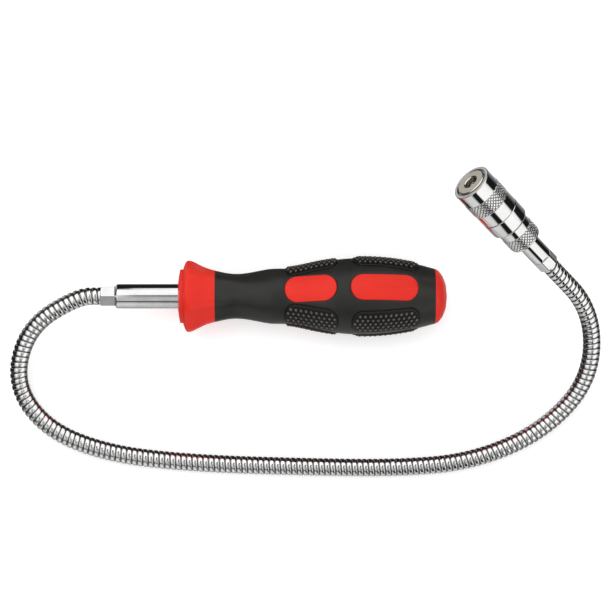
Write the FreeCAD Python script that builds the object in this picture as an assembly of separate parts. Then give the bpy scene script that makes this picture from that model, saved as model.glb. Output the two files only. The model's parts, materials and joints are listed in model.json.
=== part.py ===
import FreeCAD, Part
import math
import os

from FreeCAD import Vector

# Posable magnetic pick-up tool with a lamp in its head.
# A moulded handle holds a plated shank tube. A gooseneck of wound wire runs from the shank,
# round along the table and up to a plated head, which carries a ring magnet with a lamp in
# its hole and three button cells behind it.
#
# Millimetres, +Z up. The tool is drawn lying on a table at Z = 0 with the handle's axis along
# X, X = 0 half a millimetre behind the handle's front face and Y = 0 on its axis. The last step
# moves everything so that the origin is at the middle of the bounding box, on the table.

# ---- handle: a hard red core with a black grip moulded round it
HANDLE_LENGTH = 120.4
BELLY_RADIUS = 17.25
WINDOW_RISE = 0.35
AXIS_HEIGHT = BELLY_RADIUS + WINDOW_RISE
GRIP_START = 15.5
GRIP_END = 115.35
GRIP_THICKNESS = 2.2
ROLL = 15.0
FACETS_END = 44.0
SHANK_DEPTH = 60.0
DISC_FRONT = -0.5
DISC_BACK = 1.9
FACE_RADIUS = 12.1

WINDOW_SPANS = [(47.5, 70.7), (77.0, 107.1)]
WINDOW_WIDTH = 12.0
WINDOW_CORNER = 0.48 * WINDOW_WIDTH
PAD_SPANS = {"front": (47.6, 71.2), "rear": (77.7, 107.7)}
PAD_WIDTH = 12.6
PAD_RISE = 0.5
PAD_DEPTH = 1.0
PAD_CORNER = 5.2

# ---- shank tube, crimped to a hexagon on the gooseneck
SHANK_RADIUS = 5.5
SHANK_BORE = 4.6
SHANK_FRONT = -35.2
CRIMP_LENGTH = 6.9
CRIMP_CORNER_RADIUS = 5.02
CRIMP_FLATS = 8.7
CRIMP_TURN = 30.0

# ---- gooseneck: a round-wire inner spring with a flat-wire winding over it
NECK_RADIUS = 4.0
WINDING_BORE = 2.9
SPRING_OUTER = 2.85
SPRING_BORE = 1.9
CRIMP_BORE = NECK_RADIUS + 0.02
SOCKET_RADIUS = NECK_RADIUS + 0.05
SOCKET_DEPTH = 2.2
SPRING_LEAD = 2.3
SPRING_STOP_RADIUS = NECK_RADIUS + 0.15
ARC_SHARE = 0.45

# ---- head, measured back from the magnet's face along its axis
HEAD_FACE = Vector(128.92, 49.91, 63.5)
HEAD_HEADING = 135.4
HEAD_RISE = 28.8
BARREL_RADIUS = 9.12
RIM_ROUND = 0.4
BARREL_ROUND = 1.4
LIP_BACK = 0.4
LIP_BORE = 7.45
LIP_DEPTH = 1.2
MAGNET_RADIUS = 6.8
MAGNET_LENGTH = 5.0
MAGNET_HOLE = 3.15
MAGNET_CHAMFER = 0.4
CAP_BORE = 7.25
CAP_END = 20.8
SEAM = 0.1
EDGE_BREAK = 0.15
HOLDER_FRONT = 2.0
HOLDER_NOSE = 3.1
HOLDER_BORE = 2.55
HOLDER_RADIUS = 7.2
HOLDER_BORE_END = 6.5
BOARD_FRONT = 10.0
BOARD_BACK = 11.0
BOARD_RADIUS = 7.1
LENS_RADIUS = 2.5
LENS_FLANGE_RADIUS = 2.95
LENS_FLANGE = (7.2, 8.2)
LEAD_OFFSET = 1.27
LEAD_WIDTH = 0.5
BUTTON_RADIUS = 2.2
BUTTON_BACK = 11.45
SPIGOT_RADIUS = 7.15
SPIGOT_START = 12.5
SEAL_BACK = 19.5
SEAL_RADIUS = 6.84
SEAL_WIRE = 0.37
GROOVE_FLOOR = 6.45
GROOVE_HALF = 0.45
BARREL_END = 29.2
CELL_RADIUS = 5.8
CELL_LENGTH = 5.4
CELL_COUNT = 3
CELLS_START = 11.6
CELL_BORE = 6.1
CELL_CAP_RADIUS = 4.6
CELL_CAP = 0.7
CELL_SLEEVE = (6.05, 5.85)
SPRING_WIRE = 0.35
SPRING_COIL = 4.2
SPRING_TURNS = 4
CLEARANCE = 0.02
TAIL_RADIUS = 7.65
TAIL_ROUND = 0.6
TAIL_SPIGOT = 6.7
TAIL_SPIGOT_START = 23.6
TAIL_BORE = 6.15
TAIL_WALL = 36.0
TAIL_END = 40.5
FERRULE_RADIUS = 4.9
FERRULE_STUB = 4.0
FERRULE_END = 58.0
FERRULE_HEX_START = 51.7
FERRULE_FLATS = 8.9
NECK_INSERT = 12.0

heading = math.radians(HEAD_HEADING)
rise = math.radians(HEAD_RISE)
HEAD_AXIS = Vector(
    math.cos(rise) * math.cos(heading),
    math.cos(rise) * math.sin(heading),
    math.sin(rise),
)


def behind_face(distance):
    """Point on the head's axis this far behind the magnet's face."""
    return HEAD_FACE - HEAD_AXIS * distance


# Gooseneck route: straight runs joined by arcs, from inside the shank to inside the ferrule.
# The long sweep lies on the table; both ends climb, to the shank and to the head.
NECK_ROUTE = [
    Vector(-26.0, 0.0, AXIS_HEIGHT),
    Vector(-45.5, 0.0, AXIS_HEIGHT),
    Vector(-68.0, -13.5, 15.0),
    Vector(-75.0, -38.5, 10.4),
    Vector(-61.5, -59.5, 6.4),
    Vector(-34.5, -71.0, 4.15),
    Vector(2.0, -75.5, NECK_RADIUS),
    Vector(52.0, -77.3, NECK_RADIUS),
    Vector(100.0, -78.0, NECK_RADIUS),
    Vector(133.5, -74.7, NECK_RADIUS),
    Vector(165.0, -60.8, 5.0),
    Vector(186.0, -37.0, 9.5),
    behind_face(FERRULE_END + 33.0),
    behind_face(FERRULE_END - NECK_INSERT),
]


# ---------------------------------------------------------------- drawing helpers

def outline(*pieces):
    """Closed wire in the XY plane from corners (x, y) and lists of points on a smooth curve."""
    edges = []
    ends = []
    for piece in pieces:
        points = [Vector(x, y, 0) for x, y in (piece if isinstance(piece, list) else [piece])]
        if len(points) > 1:
            curve = Part.BSplineCurve()
            curve.interpolate(points)
            edges.append(curve.toShape())
        ends.append((points[0], points[-1]))
    for (_, last), (first, _) in zip(ends, ends[1:] + ends[:1]):
        if last.distanceToPoint(first) > 1e-6:
            edges.append(Part.makeLine(last, first))
    return Part.Wire(Part.__sortEdges__(edges))


def lathe(*pieces):
    """Solid turned about the X axis from an outline of (x, radius) points."""
    return Part.Face(outline(*pieces)).revolve(Vector(), Vector(1, 0, 0), 360)


def ring(start, end, outer, inner):
    """Plain tube or collar along X."""
    return lathe((start, inner), (start, outer), (end, outer), (end, inner))


def rod(start, end, radius):
    """Plain cylinder along X."""
    return Part.makeCylinder(radius, end - start, Vector(start, 0, 0), Vector(1, 0, 0))


def hexagon(start, end, flats, turn=0.0):
    """Hexagonal bar along X, with one flat's normal at the given angle from +Z."""
    corner_radius = flats / math.sqrt(3)
    corners = []
    for index in range(7):
        angle = math.radians(turn + 30 + 60 * index)
        across = corner_radius * math.sin(angle)
        corners.append(Vector(start, across, corner_radius * math.cos(angle)))
    return Part.Face(Part.makePolygon(corners)).extrude(Vector(end - start, 0, 0))


def offset_radius(points, change):
    """The same curve of (x, radius) points, moved outward by change."""
    return [(x, radius + change) for x, radius in points]


def turned(shape, angle):
    """Copy of a shape turned about the X axis, from +Z toward +Y."""
    copy = shape.copy()
    copy.rotate(Vector(), Vector(1, 0, 0), -angle)
    return copy


# ---------------------------------------------------------------- handle

# The handle's outline as (x, radius), and how far the flats of its flare are from the axis.
FLARE = [
    (1.8, 12.4), (2.7, 14.9), (4.4, 16.3), (6.9, 15.5),
    (11.0, 13.45), (16.7, 11.65), (24.6, 10.25), (34.0, 11.1),
]
BELLY = [
    (42.0, 12.4), (47.6, 12.5), (60.0, 14.7), (71.5, 16.6),
    (84.0, BELLY_RADIUS), (97.5, 16.2), (108.0, 14.2),
]
TAIL_DOME = [(GRIP_END, 12.25), (118.0, 9.4), (119.7, 5.4), (HANDLE_LENGTH, 0.0)]
FLAT_DISTANCE = [
    (1.7, 15.1), (4.4, 15.2), (11.0, 12.55), (16.7, 10.9),
    (24.6, 9.7), (33.0, 10.9), (FACETS_END, 15.0),
]


def grip_curve(change=0.0):
    """The handle's outer curve behind the front disc, moved outward by change."""
    return offset_radius(FLARE + BELLY + TAIL_DOME[:1], change)


def grip_envelope(change=0.0):
    """Turned body of the handle between the front disc and the tail dome."""
    curve = grip_curve(change)
    return lathe((curve[0][0], 0), curve, (curve[-1][0], 0))


def facet_slab(change):
    """Bar with two opposite faces that follow the flats of the flare and leave the belly alone."""
    upper = offset_radius(FLAT_DISTANCE, change)
    lower = [(x, -distance) for x, distance in reversed(upper)]
    reach = 2 * BELLY_RADIUS
    wire = outline(
        upper,
        (FACETS_END, reach),
        (HANDLE_LENGTH, reach),
        (HANDLE_LENGTH, -reach),
        (FACETS_END, -reach),
        lower,
    )
    slab = Part.Face(wire).extrude(Vector(0, 0, 2 * reach))
    slab.translate(Vector(0, 0, -reach))
    slab.rotate(Vector(), Vector(1, 0, 0), 90)
    return slab


def faceted_envelope(change=0.0):
    """The handle's outer body with the six soft flats of its flare and neck."""
    body = grip_envelope(change)
    for step in range(3):
        body = body.common(turned(facet_slab(change), ROLL + 60 * step))
    return body


def slot_prism(span, width, corner, angle):
    """Radial prism with a rounded outline, for a window or a pad on the side at this angle."""
    start, end = span
    half = width / 2
    prism = Part.makeBox(end - start, width, 3 * BELLY_RADIUS, Vector(start, -half, 0))
    upright = [edge for edge in prism.Edges if abs(edge.tangentAt(0).z) > 0.9]
    return turned(prism.makeFillet(corner, upright), angle)


def window_prisms():
    sides = (ROLL, ROLL + 180)
    return [
        slot_prism(span, WINDOW_WIDTH, WINDOW_CORNER, side)
        for span in WINDOW_SPANS
        for side in sides
    ]


def pad_prisms(span):
    sides = [ROLL + turn for turn in (60, -60, 120, 240)]
    return [slot_prism(span, PAD_WIDTH, PAD_CORNER, side) for side in sides]


def make_handle():
    """Core, grip sleeve and the two groups of textured pads."""
    envelope = faceted_envelope()
    inner = faceted_envelope(-GRIP_THICKNESS)
    reach = 2 * BELLY_RADIUS
    grip_zone = Part.makeBox(
        GRIP_END - GRIP_START, 2 * reach, 2 * reach, Vector(GRIP_START, -reach, -reach)
    )
    window_skin = grip_envelope(WINDOW_RISE)
    windows = [prism.common(window_skin) for prism in window_prisms()]

    front_disc = lathe(
        (DISC_FRONT, 0),
        [(DISC_FRONT, 3.0), (DISC_FRONT + 0.25, 8.0), (DISC_FRONT + 1.0, FACE_RADIUS)],
        (DISC_BACK, FACE_RADIUS),
        (DISC_BACK, 0),
    )
    tail_dome = lathe((GRIP_END, 0), TAIL_DOME)
    core = envelope.cut(grip_zone).multiFuse([front_disc, tail_dome, inner] + windows)
    core = core.cut(rod(DISC_FRONT - 1.0, SHANK_DEPTH + 2.0, SHANK_RADIUS)).removeSplitter()

    sleeve = envelope.common(grip_zone).cut(inner).cut(Part.Compound(windows))
    pad_shell = grip_envelope(PAD_RISE).cut(grip_envelope(-PAD_DEPTH))
    pads = {
        name: [prism.common(pad_shell) for prism in pad_prisms(span)]
        for name, span in PAD_SPANS.items()
    }
    for group in pads.values():
        sleeve = sleeve.cut(Part.Compound(group))
    return {
        "handle_core": core,
        "grip_sleeve": sleeve,
        "grip_pads_front": Part.Compound(pads["front"]),
        "grip_pads_rear": Part.Compound(pads["rear"]),
    }


def crimped(body, hex_start, hex_end, flats, far):
    """Cut six flats on one end of a turned body; far is a point well past that end."""
    zone = rod(min(hex_start, far), max(hex_start, far), 4 * SHANK_RADIUS)
    bar = hexagon(min(hex_start, hex_end) - 1, max(hex_start, hex_end) + 1, flats, CRIMP_TURN)
    return body.cut(zone.cut(bar))


def make_shank():
    shoulder = SHANK_FRONT + CRIMP_LENGTH
    corner = CRIMP_CORNER_RADIUS
    body = lathe(
        (SHANK_FRONT, CRIMP_BORE),
        (SHANK_FRONT, corner - 0.4),
        (SHANK_FRONT + 0.4, corner),
        (shoulder - 0.6, corner),
        (shoulder + 0.8, SHANK_RADIUS),
        (SHANK_DEPTH, SHANK_RADIUS),
        (SHANK_DEPTH, SHANK_BORE),
        (shoulder + 1.5, SHANK_BORE),
        (shoulder + 0.3, CRIMP_BORE),
    )
    return crimped(body, shoulder, SHANK_FRONT, CRIMP_FLATS, SHANK_FRONT - SHANK_RADIUS)


# ---------------------------------------------------------------- gooseneck

def unit(vector):
    return vector * (1.0 / vector.Length)


def along(shape, point, direction):
    """Place a shape drawn about the X axis at a point, with X turned to a direction."""
    place = FreeCAD.Placement(point, FreeCAD.Rotation(Vector(1, 0, 0), direction))
    copy = shape.copy()
    copy.Placement = place.multiply(copy.Placement)
    return copy


def hinge_points():
    """Middles of the inner runs, where one section of the gooseneck meets the next."""
    return [(a + b) * 0.5 for a, b in zip(NECK_ROUTE[1:-2], NECK_ROUTE[2:-1])]


def bend_radius(index):
    """Radius of the arc at a corner of the route, and the length of its tangents."""
    before = NECK_ROUTE[index] - NECK_ROUTE[index - 1]
    after = NECK_ROUTE[index + 1] - NECK_ROUTE[index]
    tangent = ARC_SHARE * min(before.Length, after.Length)
    return tangent / math.tan(before.getAngle(after) / 2), tangent


def section_path(start, index, end):
    """Line, arc and line through one corner of the route."""
    corner = NECK_ROUTE[index]
    to_start = unit(start - corner)
    to_end = unit(end - corner)
    radius, tangent = bend_radius(index)
    bisector = unit(to_start + to_end)
    centre = corner + bisector * math.hypot(radius, tangent)
    arc_start = corner + to_start * tangent
    arc_end = corner + to_end * tangent
    arc = Part.Arc(arc_start, centre - bisector * radius, arc_end).toShape()
    return Part.Wire([Part.makeLine(start, arc_start), arc, Part.makeLine(arc_end, end)])


def swept_tube(path, outer, inner):
    start = path.Vertexes[0].Point
    direction = path.Edges[0].tangentAt(path.Edges[0].FirstParameter)
    rims = [Part.Wire(Part.makeCircle(radius, start, direction)) for radius in (outer, inner)]
    outside, inside = [path.makePipeShell([rim], True, False) for rim in rims]
    return outside.cut(inside)


def ball_end():
    """Rounded inboard end of a winding section, about its hinge point."""
    reach = math.sqrt(NECK_RADIUS ** 2 - WINDING_BORE ** 2)
    ball = Part.makeSphere(NECK_RADIUS)
    return ball.common(ring(-reach, 0.0, NECK_RADIUS + 1, WINDING_BORE))


def socket_cutter():
    """What the next section's ball needs clear of this section's end."""
    return Part.makeSphere(SOCKET_RADIUS).fuse(rod(-SOCKET_DEPTH, 12.0, NECK_RADIUS + 2))


def make_neck():
    """Winding and inner spring of every section, named by their place from the handle."""
    parts = {}
    hinges = hinge_points()
    starts = [NECK_ROUTE[0]] + hinges
    ends = hinges + [NECK_ROUTE[-1]]
    for index, (start, end) in enumerate(zip(starts, ends)):
        corner = NECK_ROUTE[index + 1]
        inward = unit(corner - start)
        outward = unit(end - corner)
        name = "%02d" % (index + 1)
        winding = swept_tube(section_path(start, index + 1, end), NECK_RADIUS, WINDING_BORE)
        lead = start - inward * (SPRING_LEAD if index else 0.0)
        spring = swept_tube(section_path(lead, index + 1, end), SPRING_OUTER, SPRING_BORE)
        if index:
            winding = winding.fuse(along(ball_end(), start, inward)).removeSplitter()
        if end is not NECK_ROUTE[-1]:
            winding = winding.cut(along(socket_cutter(), end, outward))
            spring_stop = Part.makeSphere(SPRING_STOP_RADIUS, end)
            spring = spring.cut(spring_stop).Solids[0]
        parts["neck_winding_" + name] = winding
        parts["neck_spring_" + name] = spring
    return parts


# ---------------------------------------------------------------- head
# Drawn with the magnet's face at X = 0 and the rest behind it, at negative X.

def back_ring(start, end, outer, inner):
    """Ring between two distances behind the magnet's face."""
    return ring(-end, -start, outer, inner)


def rounded_edge(end, radius, size, inward):
    """Rounded outer edge of a turned part whose end is at x = end; inward is +1 or -1."""
    return [
        (end + inward * size, radius),
        (end + inward * 0.3 * size, radius - 0.3 * size),
        (end, radius - size),
    ]


def make_lamp_cap():
    """Everything that turns with the front cap."""
    rim = -LIP_BACK
    front_cap = lathe(
        rounded_edge(rim, BARREL_RADIUS, RIM_ROUND, -1),
        (rim, LIP_BORE),
        (-LIP_DEPTH, LIP_BORE),
        (-LIP_DEPTH, MAGNET_RADIUS),
        (-MAGNET_LENGTH, MAGNET_RADIUS),
        (-MAGNET_LENGTH, CAP_BORE),
        (-CAP_END, CAP_BORE),
        (-CAP_END, BARREL_RADIUS - EDGE_BREAK),
        (-CAP_END + EDGE_BREAK, BARREL_RADIUS),
    )
    magnet = lathe(
        (0, MAGNET_HOLE + MAGNET_CHAMFER),
        (0, MAGNET_RADIUS - MAGNET_CHAMFER),
        (-MAGNET_CHAMFER, MAGNET_RADIUS),
        (-MAGNET_LENGTH, MAGNET_RADIUS),
        (-MAGNET_LENGTH, MAGNET_HOLE),
        (-MAGNET_CHAMFER, MAGNET_HOLE),
    )
    holder = lathe(
        (-HOLDER_FRONT, HOLDER_BORE),
        (-HOLDER_FRONT, HOLDER_NOSE),
        (-MAGNET_LENGTH, HOLDER_NOSE),
        (-MAGNET_LENGTH, HOLDER_RADIUS),
        (-BOARD_FRONT, HOLDER_RADIUS),
        (-BOARD_FRONT, HOLDER_BORE_END),
        (-HOLDER_BORE_END, HOLDER_BORE_END),
        (-HOLDER_BORE_END, HOLDER_BORE),
    )
    flange_front, flange_back = LENS_FLANGE
    lens = lathe(
        [(-1.2, 0.0), (-1.6, 1.35), (-2.6, 2.25), (-3.7, LENS_RADIUS)],
        (-flange_front, LENS_RADIUS),
        (-flange_front, LENS_FLANGE_RADIUS),
        (-flange_back, LENS_FLANGE_RADIUS),
        (-flange_back, 0.0),
    )
    half = LEAD_WIDTH / 2
    lead_length = BOARD_FRONT - flange_back
    leads = [
        Part.makeBox(
            lead_length, LEAD_WIDTH, LEAD_WIDTH, Vector(-BOARD_FRONT, side * LEAD_OFFSET - half, -half)
        )
        for side in (-1, 1)
    ]
    button = lathe(
        (-BOARD_BACK, 0),
        (-BOARD_BACK, BUTTON_RADIUS),
        (-BUTTON_BACK + 0.2, BUTTON_RADIUS),
        (-BUTTON_BACK, BUTTON_RADIUS - 0.4),
        (-BUTTON_BACK, 0),
    )
    return {
        "front_cap": front_cap,
        "magnet_ring": magnet,
        "lamp_holder": holder,
        "lamp_lens": lens,
        "lamp_leads": Part.Compound(leads),
        "lamp_board": rod(-BOARD_BACK, -BOARD_FRONT, BOARD_RADIUS),
        "contact_button": button,
    }


def make_battery_barrel():
    body = lathe(
        (-SPIGOT_START, CELL_BORE),
        (-SPIGOT_START, SPIGOT_RADIUS - 0.3),
        (-SPIGOT_START - 0.3, SPIGOT_RADIUS),
        (-CAP_END - SEAM, SPIGOT_RADIUS),
        (-CAP_END - SEAM, BARREL_RADIUS - EDGE_BREAK),
        (-CAP_END - SEAM - EDGE_BREAK, BARREL_RADIUS),
        rounded_edge(-BARREL_END, BARREL_RADIUS, BARREL_ROUND, 1),
        (-BARREL_END, TAIL_SPIGOT),
        (-TAIL_SPIGOT_START, TAIL_SPIGOT),
        (-TAIL_SPIGOT_START, CELL_BORE),
    )
    groove = back_ring(
        SEAL_BACK - GROOVE_HALF, SEAL_BACK + GROOVE_HALF, SPIGOT_RADIUS + 1, GROOVE_FLOOR
    )
    seal = Part.makeTorus(SEAL_RADIUS, SEAL_WIRE, Vector(-SEAL_BACK, 0, 0), Vector(1, 0, 0))
    return {"battery_barrel": body.cut(groove), "seal_ring": seal}


def make_cells():
    cells = {}
    for index in range(CELL_COUNT):
        front = -CELLS_START - index * CELL_LENGTH
        shoulder = front - CELL_CAP
        back = front - CELL_LENGTH
        cells["battery_cell_%d" % (index + 1)] = lathe(
            (front, 0),
            (front, CELL_CAP_RADIUS),
            (shoulder, CELL_CAP_RADIUS),
            (shoulder, CELL_RADIUS - 0.3),
            (shoulder - 0.3, CELL_RADIUS),
            (back + 0.2, CELL_RADIUS),
            (back, CELL_RADIUS - 0.2),
            (back, 0),
        )
    end = CELLS_START + CELL_COUNT * CELL_LENGTH
    cells["cell_sleeve"] = back_ring(SPIGOT_START, end, *CELL_SLEEVE)
    return cells


def make_tail_spring():
    front = CELLS_START + CELL_COUNT * CELL_LENGTH + SPRING_WIRE + CLEARANCE
    back = TAIL_WALL - SPRING_WIRE - CLEARANCE
    height = back - front
    helix = Part.makeHelix(height / SPRING_TURNS, height, SPRING_COIL)
    circle = Part.makeCircle(SPRING_WIRE, Vector(SPRING_COIL, 0, 0), Vector(0, 1, 0))
    coil = Part.Wire(helix.Edges).makePipeShell([Part.Wire(circle)], True, True)
    coil.rotate(Vector(), Vector(0, 1, 0), -90)
    coil.translate(Vector(-front, 0, 0))
    return {"tail_spring": coil}


def make_tail():
    tail_cap = lathe(
        (-TAIL_SPIGOT_START, TAIL_BORE),
        (-TAIL_SPIGOT_START, TAIL_SPIGOT),
        (-BARREL_END, TAIL_SPIGOT),
        (-BARREL_END, TAIL_RADIUS),
        rounded_edge(-TAIL_END, TAIL_RADIUS, TAIL_ROUND, 1),
        (-TAIL_END, FERRULE_STUB),
        (-TAIL_WALL, FERRULE_STUB),
        (-TAIL_WALL, TAIL_BORE),
    )
    ferrule = lathe(
        (-TAIL_WALL, 0),
        (-TAIL_WALL, FERRULE_STUB),
        (-TAIL_END, FERRULE_STUB),
        (-TAIL_END, FERRULE_RADIUS),
        (-FERRULE_END + 0.3, FERRULE_RADIUS),
        (-FERRULE_END, FERRULE_RADIUS - 0.3),
        (-FERRULE_END, CRIMP_BORE),
        (-FERRULE_END + NECK_INSERT, CRIMP_BORE),
        (-FERRULE_END + NECK_INSERT, 0),
    )
    past_end = -FERRULE_END - SHANK_RADIUS
    ferrule = crimped(ferrule, -FERRULE_HEX_START, -FERRULE_END, FERRULE_FLATS, past_end)
    return {"tail_cap": tail_cap, "neck_ferrule": ferrule}


def make_head():
    parts = {}
    for group in (make_lamp_cap, make_battery_barrel, make_cells, make_tail_spring, make_tail):
        parts.update(group())
    return {name: along(shape, HEAD_FACE, HEAD_AXIS) for name, shape in parts.items()}


# ---------------------------------------------------------------- whole tool

def make_tool():
    """Every node's shape, in the finished frame."""
    parts = make_handle()
    parts["shank_tube"] = make_shank()
    for shape in parts.values():
        shape.translate(Vector(0, 0, AXIS_HEIGHT))
    parts.update(make_neck())
    parts.update(make_head())
    box = Part.Compound(list(parts.values())).optimalBoundingBox()
    shift = Vector(-(box.XMin + box.XMax) / 2, -(box.YMin + box.YMax) / 2, -box.ZMin)
    for shape in parts.values():
        shape.translate(shift)
    return parts, shift


def report_route():
    """Print each bend's radius, so that a sharp one shows."""
    for index in range(1, len(NECK_ROUTE) - 1):
        run = (NECK_ROUTE[index + 1] - NECK_ROUTE[index]).Length
        print("bend %2d  radius %6.1f mm  next run %5.1f mm" % (index, bend_radius(index)[0], run))


def main():
    os.makedirs("parts", exist_ok=True)
    report_route()
    parts, shift = make_tool()
    print("frame moved by %.3f %.3f %.3f" % (shift.x, shift.y, shift.z))
    for name, shape in parts.items():
        shape.exportStep("parts/%s.step" % name)
        facts = (name, len(shape.Solids), shape.isValid(), shape.Volume)
        print("%-18s solids %d  valid %s  volume %.1f" % facts)


main()
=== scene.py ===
import json
import math

import bpy
import numpy as np
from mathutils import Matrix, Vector


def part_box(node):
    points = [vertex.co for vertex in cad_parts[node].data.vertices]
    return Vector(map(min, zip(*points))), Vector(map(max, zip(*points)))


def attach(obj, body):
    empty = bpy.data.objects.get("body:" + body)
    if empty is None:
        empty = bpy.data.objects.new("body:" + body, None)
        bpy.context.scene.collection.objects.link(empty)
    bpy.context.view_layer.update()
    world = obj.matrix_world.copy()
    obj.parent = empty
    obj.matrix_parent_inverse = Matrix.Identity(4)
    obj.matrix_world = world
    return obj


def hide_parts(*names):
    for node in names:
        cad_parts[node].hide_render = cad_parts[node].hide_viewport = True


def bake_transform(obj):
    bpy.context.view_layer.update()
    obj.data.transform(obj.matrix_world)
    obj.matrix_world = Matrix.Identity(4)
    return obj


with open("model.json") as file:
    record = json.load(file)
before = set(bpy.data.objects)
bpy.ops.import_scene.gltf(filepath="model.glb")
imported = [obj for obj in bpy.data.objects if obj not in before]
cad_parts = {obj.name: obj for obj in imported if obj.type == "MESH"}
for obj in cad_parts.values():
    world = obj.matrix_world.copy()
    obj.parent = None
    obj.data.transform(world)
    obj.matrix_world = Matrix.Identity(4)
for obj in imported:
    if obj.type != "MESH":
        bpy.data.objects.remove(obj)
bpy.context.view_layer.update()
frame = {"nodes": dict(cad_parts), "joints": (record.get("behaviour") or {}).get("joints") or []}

# Posable magnetic pick-up tool. The camera and the gooseneck come first, then the handle, the
# shank and the head. Lengths are in millimetres until a mesh is made, and MM turns them into metres.
# Handle coordinates: x from just behind the front face, angles about its axis from +Z toward +Y.
# Head coordinates: distance behind the magnet's face, along the head's axis.

MM = 0.001

CORE_LOW, CORE_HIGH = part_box("handle_core")
SHANK_LOW, SHANK_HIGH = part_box("shank_tube")
DISC_FRONT = -0.5
HANDLE = np.array([
    CORE_LOW.x - DISC_FRONT * MM,
    (SHANK_LOW.y + SHANK_HIGH.y) / 2,
    (SHANK_LOW.z + SHANK_HIGH.z) / 2,
]) / MM
TABLE = np.array([HANDLE[0], HANDLE[1], 0.0])

JOINTS = {joint["name"]: joint for joint in frame["joints"]}
HEAD_FACE = np.array(JOINTS["lamp_twist"]["pos_m"]) / MM
HEAD_AXIS = np.array(JOINTS["lamp_twist"]["axis"])


# ---------------------------------------------------------------- meshes

def unit(vector):
    vector = np.asarray(vector, float)
    return vector / np.linalg.norm(vector)


def make_mesh(name, points, faces, sharp_degrees):
    """Mesh object from points in millimetres and faces that index them."""
    mesh = bpy.data.meshes.new(name)
    mesh.from_pydata((np.asarray(points) * MM).tolist(), [], faces)
    mesh.validate()
    mesh.shade_smooth()
    mesh.set_sharp_from_angle(angle=math.radians(sharp_degrees))
    piece = bpy.data.objects.new(name, mesh)
    bpy.context.scene.collection.objects.link(piece)
    return piece


def grid_faces(rows, columns, first):
    """Quads of a grid of points, row by row; the last column joins the first."""
    faces = []
    for row in range(rows - 1):
        for column in range(columns):
            after = (column + 1) % columns
            a = first + row * columns
            b = a + columns
            faces.append((a + column, b + column, b + after, a + after))
    return faces


class Build:
    """Collects grids of points into one mesh."""

    def __init__(self):
        self.points = []
        self.faces = []
        self.count = 0

    def grid(self, points, cap_start=False, cap_end=False, flip=False):
        """Add an array of rows x columns x 3 points."""
        rows, columns = points.shape[:2]
        faces = grid_faces(rows, columns, self.count)
        if cap_start:
            faces.append(tuple(self.count + column for column in range(columns)))
        if cap_end:
            last = self.count + (rows - 1) * columns
            faces.append(tuple(last + column for column in reversed(range(columns))))
        if flip:
            faces = [tuple(reversed(face)) for face in faces]
        self.points.append(points.reshape(-1, 3))
        self.faces += faces
        self.count += rows * columns

    def piece(self, name, sharp_degrees):
        return make_mesh(name, np.concatenate(self.points), self.faces, sharp_degrees)


def turn_angles(columns):
    """Even angles round a turn, as one row."""
    return np.linspace(0, 2 * math.pi, columns, endpoint=False)[None, :]


def densified(outline, wanted, spacing=0.25):
    """Outline with points added at the spacing on the stretches whose end is wanted."""
    dense = []
    for a, b in zip(outline, outline[1:]):
        steps = max(1, int(np.linalg.norm(b - a) / spacing)) if wanted(b) else 1
        dense += [a + (b - a) * step / steps for step in range(steps)]
    return np.array(dense + [outline[-1]])


def six_flats(angle, turn, distance):
    """Radius of six flats at this distance from the axis, turned by this many degrees."""
    from_flat = (np.degrees(angle) - turn + 30.0) % 60.0 - 30.0
    return distance / np.cos(np.radians(from_flat))


def finish_piece(piece, material, slot, body, *nodes):
    """Give a piece its material and body, and hide the CAD nodes it stands for. The slot is not used.
    """
    piece.data.materials.append(material)
    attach(piece, body)
    if nodes:
        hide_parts(*nodes)


def rounded(corners, steps=5):
    """Outline through (x, radius, rounding) corners, each rounded off by an arc."""
    points = [np.array(corner[:2], float) for corner in corners]
    outline = [points[0]]
    for index in range(1, len(corners) - 1):
        corner = points[index]
        before = points[index - 1] - corner
        after = points[index + 1] - corner
        turn = math.pi - math.acos(np.clip(np.dot(unit(before), unit(after)), -1, 1))
        size = corners[index][2]
        if size <= 0 or turn < 0.02:
            outline.append(corner)
            continue
        shorter = min(np.linalg.norm(before), np.linalg.norm(after))
        reach = min(size * math.tan(turn / 2), 0.49 * shorter)
        start = corner + unit(before) * reach
        end = corner + unit(after) * reach
        for step in range(steps + 1):
            t = step / steps
            outline.append((1 - t) ** 2 * start + 2 * t * (1 - t) * corner + t * t * end)
    outline.append(points[-1])
    return np.array(outline)


def smooth_curve(points):
    """Natural cubic spline y(x) through points, as a function."""
    x, y = np.array(points, float).T
    count = len(x)
    gaps = np.diff(x)
    slopes = np.diff(y) / gaps
    matrix = np.eye(count)
    side = np.zeros(count)
    for i in range(1, count - 1):
        matrix[i, i - 1:i + 2] = [gaps[i - 1], 2 * (gaps[i - 1] + gaps[i]), gaps[i]]
        side[i] = 6 * (slopes[i] - slopes[i - 1])
    curve = np.linalg.solve(matrix, side)

    def value(at):
        at = np.asarray(at, float)
        i = np.clip(np.searchsorted(x, at) - 1, 0, count - 2)
        left = at - x[i]
        right = x[i + 1] - at
        cubic = (curve[i] * right ** 3 + curve[i + 1] * left ** 3) / (6 * gaps[i])
        line = (y[i] / gaps[i] - curve[i] * gaps[i] / 6) * right
        return cubic + line + (y[i + 1] / gaps[i] - curve[i + 1] * gaps[i] / 6) * left

    return value


def smoothstep(value, low, high):
    t = np.clip((value - low) / (high - low), 0, 1)
    return t * t * (3 - 2 * t)


def soft_min(a, b, width):
    """Smaller of two values, blended where they are closer than width."""
    mix = np.clip(0.5 + 0.5 * (b - a) / width, 0, 1)
    return b * (1 - mix) + a * mix - width * mix * (1 - mix)


# ---------------------------------------------------------------- materials

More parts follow.
